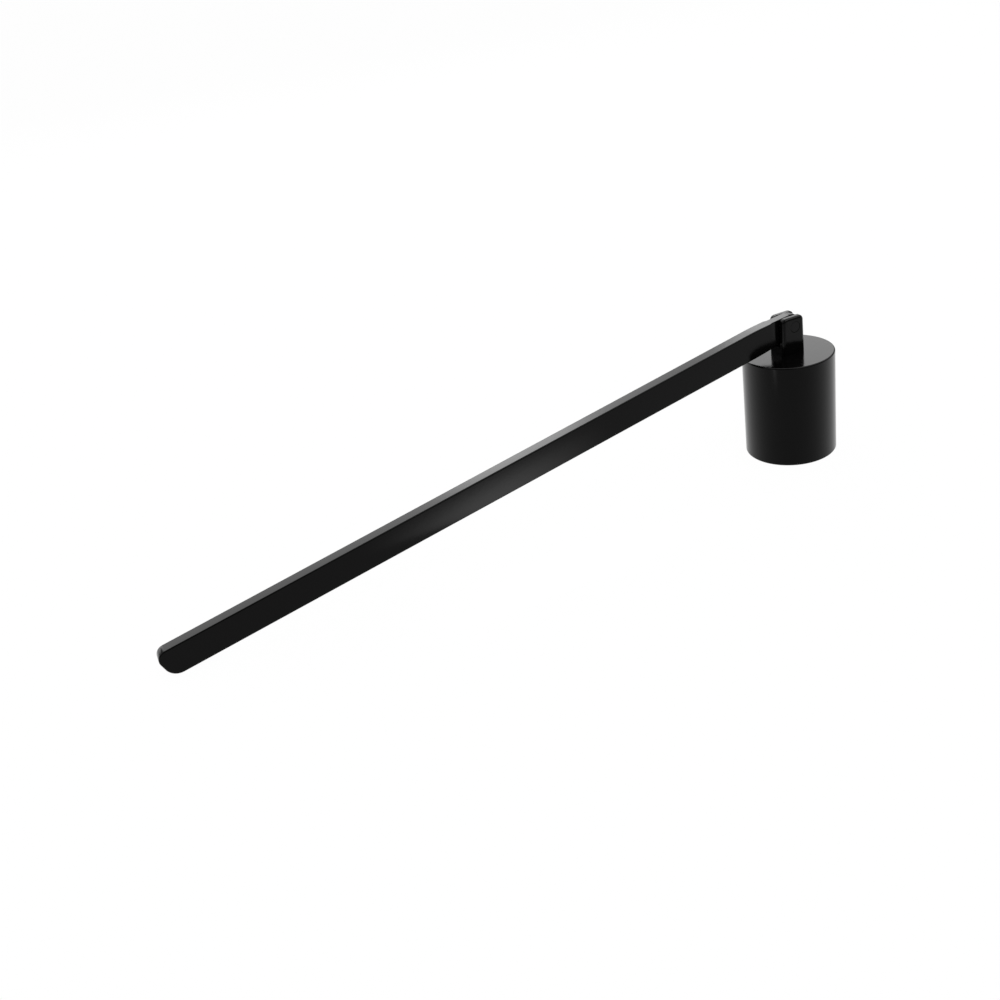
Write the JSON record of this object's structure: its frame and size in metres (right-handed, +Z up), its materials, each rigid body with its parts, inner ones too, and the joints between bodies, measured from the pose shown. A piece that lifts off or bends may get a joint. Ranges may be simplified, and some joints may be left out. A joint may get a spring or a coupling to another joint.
{
  "type": "candle snuffer",
  "caption": "Satin black candle snuffer: a short cylindrical cup hinged by a riveted yoke to the end of a long flat bar handle.",
  "frame": {"origin": "centre of the cup's mouth, on the plane that the rim and the handle's far end rest on", "axes": "+Z up along the cup's axis through its roof, +Y along the hinge pin, -X the way the handle reaches"},
  "size_m": [0.1649, 0.0212, 0.0339],
  "materials": {
    "cup_coat": "satin black coat",
    "yoke_coat": "satin black coat",
    "bar_coat": "satin black coat",
    "pin_coat": "satin black coat",
    "spring_steel": "bright spring steel",
    "plated_steel": "zinc plated steel"
  },
  "bodies": {
    "cup": {"snuffer_cup": "cup_coat", "hinge_yoke": "yoke_coat", "hinge_pin": "pin_coat", "hinge_washer_front": "spring_steel", "hinge_washer_back": "spring_steel", "yoke_screw": "plated_steel", "lock_washer": "spring_steel"},
    "handle": {"handle_bar": "bar_coat"}
  },
  "joints": [
    {"name": "handle_hinge", "type": "hinge", "parent": "cup", "child": "handle", "pos_m": [0.00022, 0, 0.03126], "axis": [0, 1, 0], "range_deg": [-6, 207.6]}
  ]
}
